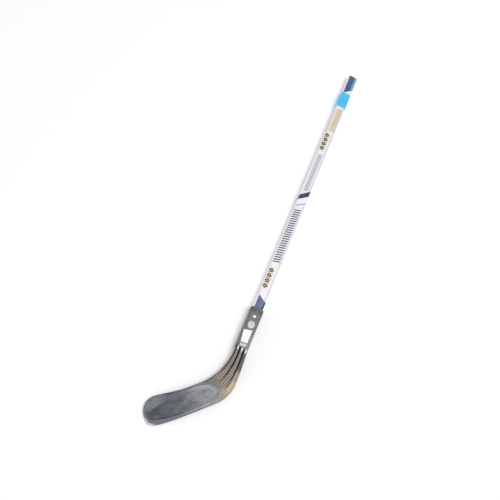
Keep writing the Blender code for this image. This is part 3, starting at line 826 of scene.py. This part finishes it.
groove_top = MOUTH_X - COLLAR_LENGTH
groove_low = groove_top - COLLAR_GROOVE
sections = [socket_section(MOUTH_X - SOCKET_DEPTH)]
sections.append(socket_section(MOUTH_X - MOUTH_ROUNDING))
for x, shrink in ((MOUTH_X, MOUTH_ROUNDING), (MOUTH_X - MOUTH_ROUNDING, 0.0),
                  (groove_top + COLLAR_STEP, 0.0), (groove_top, COLLAR_DEPTH),
                  (groove_low, COLLAR_DEPTH), (groove_low - COLLAR_STEP, 0.0)):
    sections.append(hosel_section(x, shrink))
hosel_rings = round((groove_low - HOSEL_END_X) / HOSEL_STEP)
for step in range(1, hosel_rings):
    sections.append(hosel_section(groove_low - step * HOSEL_STEP))
for step in range(NECK_RINGS + 1):
    share = step / NECK_RINGS
    sections.append(moulded_ring(point_on(inner_route, share), point_on(outer_route, share), share))
for step in range(1, BLADE_RINGS + 1):
    along = BLADE_START + (TOE_START - BLADE_START) * step / BLADE_RINGS
    sections.append(moulded_ring(blade_point(along, upper_edge(along)),
                                 blade_point(along, lower_edge(along)), 1.0))
for step in range(1, TOE_RINGS + 1):
    reach = math.sin(math.pi / 2 * step / (TOE_RINGS + TOE_LAST_RING))
    along = TOE_START + (BLADE_LENGTH - TOE_START) * reach
    rise, fall = [(1 - reach ** power) ** (1 / power) for power in TOE_FULLNESS]
    upper = TOE_AXIS + (upper_edge(along) - TOE_AXIS) * rise
    lower = TOE_AXIS - (TOE_AXIS - lower_edge(along)) * fall
    past = max(along - BLADE_LENGTH + TOE_THICKNESS / 2, 0.0) / (TOE_THICKNESS / 2)
    squeeze = math.sqrt(max(1 - past * past, LEAST_SQUEEZE))
    sections.append(moulded_ring(blade_point(along, upper), blade_point(along, lower), 1.0, squeeze,
                                 toe=True))

around = len(sections[0][0])
points = np.vstack([section[0] for section in sections])
fields = np.vstack([section[1] for section in sections])
faces = []
for row in range(len(sections) - 1):
    for spot in range(around):
        here = row * around + spot
        beside = row * around + (spot + 1) % around
        faces.append((here, beside, beside + around, here + around))
across_count = 2 * CORNER_STEPS + FACE_STEPS + 1
rows_of_wall = WALL_STEPS - 1
for first in (0, (len(sections) - 1) * around):
    front = [first + spot for spot in range(across_count)]
    back = [first + 2 * across_count + rows_of_wall - 1 - spot for spot in range(across_count)]
    outer_wall = [first + across_count + spot for spot in range(rows_of_wall)]
    inner_wall = [first + 2 * across_count + rows_of_wall + spot for spot in range(rows_of_wall)]
    faces.append([front[0], *inner_wall[::-1], back[0], back[1], front[1]])
    for spot in range(1, across_count - 2):
        faces.append([front[spot], back[spot], back[spot + 1], front[spot + 1]])
    faces.append([front[-2], back[-2], back[-1], *outer_wall[::-1], front[-1]])


# Grey ABS, moulded and part painted. The eye sees cloudy greys with a soft gloss, painted
# highlights and some wear along the leaf's rims, painted shade inside its lower rim and along
# the inner edge, a painted glint with scrapes on the toe, dotted ribs between dark flutes, and
# a patch of gold at the heel.
STREAK_STRETCH = 2.4
DRIFT_MM = 60.0
FADING_DRIFT = 0.2
# The least painted highlight laid along the leaf's rim everywhere.
LEAST_RIM_HIGHLIGHT = 0.10
FLUTE_DULLNESS = 0.95
WEAR_SHARE = 0.6
# A halftone of about 1.5 mm dots, too fine to show here, is drawn with dots as coarse as it needs.
RIB_DOTS_MM = 5.4
RIB_DOTS_TURN = math.radians(20)

abs_plastic, tree, shader, place = new_finish("moulded_grey_abs", "#606266", 0.42, IOR=1.42)
flute, tip, leaf, along, up, neck, across, edge = [
    add_node(tree, "ShaderNodeAttribute", {"attribute_name": name}).outputs["Fac"] for name in FIELDS]
up_shaft = add_node(tree, "ShaderNodeSeparateXYZ", {}, {0: place}).outputs["X"]
swept = add_node(tree, "ShaderNodeMapping",
                 {"vector_type": "TEXTURE", "Rotation": (0.0, 0.0, LIE),
                  "Scale": (STREAK_STRETCH, 1.0, 1.0)},
                 {"Vector": place}).outputs[0]
turned = add_node(tree, "ShaderNodeMapping", {"Rotation": (0.0, 0.0, RIB_DOTS_TURN)}, {"Vector": place})
dots = add_node(tree, "ShaderNodeTexVoronoi",
                {"voronoi_dimensions": "2D", "Scale": per_metre(RIB_DOTS_MM), "Randomness": 0.0},
                {0: turned.outputs[0]}).outputs[0]

# Each noise: what it runs over, how wide its lumps are in mm, its detail and its roughness.
broad, clouds, wear, mottle, grit = [
    add_node(tree, "ShaderNodeTexNoise",
             {"Scale": per_metre(lump_mm), "Detail": detail, "Roughness": roughness},
             {0: run}).outputs[0]
    for run, lump_mm, detail, roughness in ((place, 22.0, 3.0, 0.6), (swept, 9.0, 5.0, 0.6),
                                            (place, 3.6, 4.0, 0.65), (place, 5.5, 3.0, 0.7),
                                            (place, 0.5, 2.0, 0.6))]
drifting = add_node(tree, "ShaderNodeMath", {"operation": "MULTIPLY_ADD", 1: DRIFT_MM},
                    {0: broad, 2: along}).outputs[0]
fading = add_node(tree, "ShaderNodeMath", {"operation": "MULTIPLY_ADD", 1: FADING_DRIFT},
                  {0: clouds, 2: neck}).outputs[0]

# Where some coats lie, and the mixed tones of others. Levels are in mm, except for neck, across
# and the noises, which are shares, and up_shaft, which is in metres.
throat = amount(tree, (leaf, -1.0, -5.0), (along, 55.0, 5.0), (neck, 0.5, 0.75))
gold_zone = amount(tree, (fading, 0.55, 0.67), (fading, 0.84, 0.72), (across, -0.42, -0.56),
                   (edge, 1.0, 4.6))
in_flute = amount(tree, (flute, 0.3, -0.4), (neck, 0.44, 0.70, 1.0, 0.4))
low_side = amount(tree, (up, 38.0, 20.0))
# The painted highlight on the leaf's rim: strongest on its upper side near the heel and along its lower
# side.
upper_rim_highlight = amount(tree, (up, 26.0, 40.0), (along, 72.0, 40.0), (along, 2.0, 16.0, 0.3, 1.0))
lower_rim_highlight = amount(tree, low_side, (along, 6.0, 30.0), (along, 110.0, 50.0, 0.1, 0.8))
either_rim_highlight = add_node(tree, "ShaderNodeMath", {"operation": "MAXIMUM"}, {0: upper_rim_highlight, 1: lower_rim_highlight})
rim_highlight = add_node(tree, "ShaderNodeMath", {"operation": "MAXIMUM", 1: LEAST_RIM_HIGHLIGHT},
                     {0: either_rim_highlight.outputs[0]}).outputs[0]
pale_cloud = tinted(tree, "#93929b", "#686d74", (along, 40.0, 105.0))
hosel_tone = tinted(tree, "#575759", "#7e7e81", (wear, 0.34, 0.66))
hosel_tone = tinted(tree, hosel_tone, "#96938f", (up_shaft, 0.01, -0.035), (across, -0.3, -0.7, 0.0, 0.7))
collar_tone = tinted(tree, "#38383a", "#6a6a6c", (wear, 0.40, 0.60))
rib_tone = tinted(tree, "#96908a", "#ac9f92", (neck, 0.3, 0.5))
rib_tone = tinted(tree, rib_tone, "#4d5047", (across, -0.34, -0.40), (neck, 0.42, 0.28))
rib_tone = tinted(tree, rib_tone, "#231f1b", (dots, 0.46, 0.36), (across, -0.36, -0.28),
                  (neck, 0.15, 0.45, 0.425, 0.85))

# The coats, each laid over the ones before it: its tone, and the parts that say where it shows.
coat = tinted(tree, "#8b8a8e", "#55595f", (drifting, 45.0, 118.0))
for tone, *parts in (
        # The blade's faces: darker towards the toe, clouded and mottled, paler along the margins.
        ("#3c434b", (drifting, 110.0, 190.0)),
        ("#7d8286", (leaf, 0.0, -2.0), (up, 34.0, 52.0), (along, 100.0, 150.0, 0.0, 0.9)),
        (pale_cloud, (clouds, 0.50, 0.68, 0.0, 0.55)),
        ("#2f343b", (clouds, 0.50, 0.34, 0.0, 0.55)),
        ("#a3a2a6", (mottle, 0.54, 0.72, 0.0, 0.32)),
        ("#24282d", (mottle, 0.46, 0.30, 0.0, 0.32)),
        ("#6e6e76", (leaf, -0.5, -2.0), (up, 30.0, 18.0), (along, 40.0, 80.0), (wear, 0.3, 0.6, 0.5, 1.0)),
        ("#72716f", (edge, 9.0, 3.0), (along, 135.0, 162.0), (wear, 0.3, 0.65, 0.35, 1.0)),
        # The throat, and its side towards the heel.
        ("#66665d", throat, (wear, 0.3, 0.6, 0.7, 1.0)),
        ("#958f83", throat, (across, 0.1, -0.5)),
        # The hosel, and the collar round its mouth.
        (hosel_tone, (neck, 0.05, 0.0)),
        (collar_tone, (up_shaft, 0.034, 0.041)),
        # The neck: its dotted ribs, and the warm, gold and burnt tones of its outer edge.
        (rib_tone, (neck, 0.03, 0.10), (neck, 0.80, 0.62)),
        ("#958b7b", (neck, 0.34, 0.46), (neck, 0.74, 0.62), (across, -0.40, -0.54), (edge, 0.6, 2.6)),
        ("#b3a688", gold_zone),
        ("#c9b68a", gold_zone, (clouds, 0.40, 0.55, 0.0, 0.6)),
        ("#8f683b", (neck, 0.46, 0.56), (neck, 0.74, 0.64), (across, -0.24, -0.36),
         (across, -0.56, -0.42, 0.0, 0.8)),
        # Painted shade along the inner edge, the flutes, and the pale tips of the ribs between them.
        ("#34363a", (edge, 2.6, 1.2), (across, 0.4, 0.6), (neck, 0.2, 0.4),
         (along, 160.0, 130.0, 0.0, 0.75)),
        ("#1c150b", in_flute),
        ("#f0e3bd", (tip, 0.3, -0.3)),
        # The leaf's rim: a painted highlight on its bead, made uneven by wear, a second painted
        # highlight as a pale line inside it, and painted shade inside it along its lower side. Then a
        # painted glint, with some scraping, on the toe's lower corner.
        ("#b0b0ba", (leaf, -3.8, -1.6), (leaf, 2.0, 0.2), rim_highlight, (wear, 0.34, 0.56, 0.35, 1.0)),
        # A painted highlight: a pale line just inside the bead at the heel end, on its lower side.
        ("#b2b2be", (leaf, 2.0, 3.4), (leaf, 6.0, 4.4), (along, 46.0, 22.0), (up, 14.0, 22.0, 0.0, 0.7)),
        # Painted shade inside the rim along its lower side, stronger towards the toe.
        ("#1d2126", (leaf, 0.9, 1.8), (leaf, 4.4, 2.6), low_side, (along, 60.0, 95.0, 0.0, 0.75)),
        # A painted glint on the toe's lower corner, partly also a scrape in the plastic.
        ("#d9dbdc", (edge, 4.6, 3.0), (edge, 0.3, 1.3), (along, 155.0, 167.0), (up, 34.0, 22.0))):
    coat = tinted(tree, coat, tone, *parts)
flute_gloss = add_node(tree, "ShaderNodeMath", {"operation": "MULTIPLY", 1: FLUTE_DULLNESS}, {0: in_flute})
gloss = add_node(tree, "ShaderNodeMath", {"operation": "MAXIMUM"},
                 {0: amount(tree, (wear, 0.3, 0.7, 0.36, 0.52)), 1: flute_gloss.outputs[0]})
gritty = add_node(tree, "ShaderNodeMath", {"operation": "MULTIPLY", 1: 1 - WEAR_SHARE}, {0: grit})
height = add_node(tree, "ShaderNodeMath", {"operation": "MULTIPLY_ADD", 1: WEAR_SHARE},
                  {0: wear, 2: gritty.outputs[0]})
surface(tree, shader, coat, gloss.outputs[0], height.outputs[0], strength=0.4, depth_mm=0.12)

blade = new_piece("moulded_blade", points, faces, abs_plastic)
for index, name in enumerate(FIELDS):
    store = blade.data.attributes.new(name, "FLOAT", "POINT")
    store.data.foreach_set("value", np.ascontiguousarray(fields[:, index], dtype=np.float32))
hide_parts("blade")


# Labels on the hosel
# A blank white paper label with a plain oval and a plain strip of light grey pad print above
# and below it. They lie on the front of the hosel, the label turned a little.
HOSEL = (2 * HALF_WIDTH, 2 * HALF_THICKNESS, HOSEL_CORNER)
LABEL_PROUD = 0.12 * MM
LABEL_MOTTLE_MM = 2.0
PAD_SPECKS_MM = 2.38
OVAL_MIDDLE = (1.5, 7.0)
OVAL_HALF = (8.8, 9.6)
OVAL_STEPS = 16

# The eye sees matt white with a faint mottle. Paper's fibres are too fine to show here, so the
# mottle is drawn 2 mm wide.
paper, tree, shader, place = new_finish("coated_paper_label", "#f5f5f4", 0.55, IOR=1.48)
mottled = add_node(tree, "ShaderNodeTexNoise", {"Scale": per_metre(LABEL_MOTTLE_MM), "Detail": 5.0},
                   {0: place}).outputs[0]
surface(tree, shader, tinted(tree, "#fcfcfb", "#eeedeb", (mottled, 0.5, 0.75)),
        height=mottled, strength=0.3, depth_mm=0.05)
label = slanted((-7.0, 10.6), (-41.2, -7.3), (-0.116, -0.257)) + [(14.1, -14.0, -10.9)]
patches_on_bar("hosel_label", [label], HOSEL, LABEL_PROUD, paper)

# The eye sees a thin grey ink, worn darker in specks where the plastic shows through.
pad_ink, tree, shader, place = new_finish("light_grey_pad_print", "#cfcfcf", 0.5, IOR=1.5)
specks = add_node(tree, "ShaderNodeTexNoise", {"Scale": per_metre(PAD_SPECKS_MM), "Detail": 4.0},
                  {0: place}).outputs[0]
surface(tree, shader, tinted(tree, "#dadada", "#98989a", (specks, 0.46, 0.68)),
        amount(tree, (specks, 0.3, 0.7, 0.4, 0.6)))
pad_oval = []
for step in range(OVAL_STEPS):
    turn = math.pi * (step + 0.5) / OVAL_STEPS
    spread = OVAL_HALF[1] * math.sin(turn)
    pad_oval.append((OVAL_MIDDLE[0] - OVAL_HALF[0] * math.cos(turn),
                     OVAL_MIDDLE[1] - spread, OVAL_MIDDLE[1] + spread))
pad_strip = slanted((-7.0, 9.5), (-51.6, -43.9), (-0.12, -0.12))
patches_on_bar("hosel_pad_print", [pad_oval, pad_strip], HOSEL, PRINT_PROUD, pad_ink)


# Screw
# Zinc-plated steel, cold headed, driven through the front wall of the hosel into the
# wood. The plating is bright, with small dull spots that break its shine.
DULL_SPOTS_MM = 0.714

zinc, tree, shader, place = new_finish("zinc_plated_steel", "#d9dadb", 0.22, Metallic=1.0)
spots = add_node(tree, "ShaderNodeTexNoise", {"Scale": per_metre(DULL_SPOTS_MM), "Detail": 3.0},
                 {0: place}).outputs[0]
surface(tree, shader, tinted(tree, "#e6e7e8", "#b9bbbd", (spots, 0.4, 0.7)),
        amount(tree, (spots, 0.3, 0.7, 0.16, 0.36)))
finish_node("hosel_screw", zinc)


# Floor and light
# A white paper sweep in a white room, under one large soft lamp and, across from it, a low strip
# that lights the shaft's other wall. The paper shows white to the camera and keeps the shadow.
FLOOR_HALF = 6.0
LAMP_TARGET = Vector((0.15, 0.02, 0.0))
LAMP_FROM = Vector((0.135, -0.323, 0.937))
LAMP_DISTANCE = 4.0
LAMP_SIZE = 2.8
LAMP_WATTS = 76.0
STRIP_FROM = Vector((-0.68, 0.72, 0.14))
STRIP_SIZE = (3.0, 0.9)
STRIP_WATTS = 55.0
ROOM_LEVEL = 0.52
PAPER_SHOWS = 0.12

paper_floor, tree, shader = new_finish("white_paper_sweep", "#fafafa", 0.9)[:3]


def seen_rays(tree):
    """1 for a ray that shows the background: straight, mirrored or refracted."""
    rays = add_node(tree, "ShaderNodeLightPath").outputs
    seen = rays["Is Camera Ray"]
    for kind in ("Is Glossy Ray", "Is Transmission Ray"):
        seen = add_node(tree, "ShaderNodeMath", {"operation": "MAXIMUM"},
                        {0: seen, 1: rays[kind]}).outputs[0]
    return seen


shader.inputs["Specular IOR Level"].default_value = 0.0
shader.inputs["Emission Color"].default_value = (1.0, 1.0, 1.0, 1.0)
tree.links.new(amount(tree, (seen_rays(tree), 0.0, 1.0, 0.0, PAPER_SHOWS)),
               shader.inputs["Emission Strength"])
corners = [(-FLOOR_HALF, -FLOOR_HALF, 0), (FLOOR_HALF, -FLOOR_HALF, 0),
           (FLOOR_HALF, FLOOR_HALF, 0), (-FLOOR_HALF, FLOOR_HALF, 0)]
floor_mesh = bpy.data.meshes.new("paper_floor")
floor_mesh.from_pydata(corners, [], [(0, 1, 2, 3)])
floor_mesh.materials.append(paper_floor)
paper_sheet = bpy.data.objects.new("paper_floor", floor_mesh)
bpy.context.scene.collection.objects.link(paper_sheet)

for name, source, shape, size, watts in (
        ("softbox", LAMP_FROM, "DISK", (LAMP_SIZE, LAMP_SIZE), LAMP_WATTS),
        ("low_strip", STRIP_FROM, "RECTANGLE", STRIP_SIZE, STRIP_WATTS)):
    soft_lamp = bpy.data.lights.new(name, "AREA")
    soft_lamp.shape = shape
    soft_lamp.size, soft_lamp.size_y = size
    soft_lamp.energy = watts
    lamp = bpy.data.objects.new(name, soft_lamp)
    bpy.context.scene.collection.objects.link(lamp)
    lamp.location = LAMP_TARGET + source.normalized() * LAMP_DISTANCE
    lamp.rotation_euler = source.to_track_quat("Z", "Y").to_euler()

room = bpy.data.worlds.new("white_room")
bpy.context.scene.world = room
room.use_nodes = True
tree = room.node_tree
background = tree.nodes["Background"]
background.inputs["Color"].default_value = (1.0, 1.0, 1.0, 1.0)
tree.links.new(amount(tree, (seen_rays(tree), 0.0, 1.0, ROOM_LEVEL, 1.0)),
               background.inputs["Strength"])

bpy.context.scene.view_settings.view_transform = "Standard"
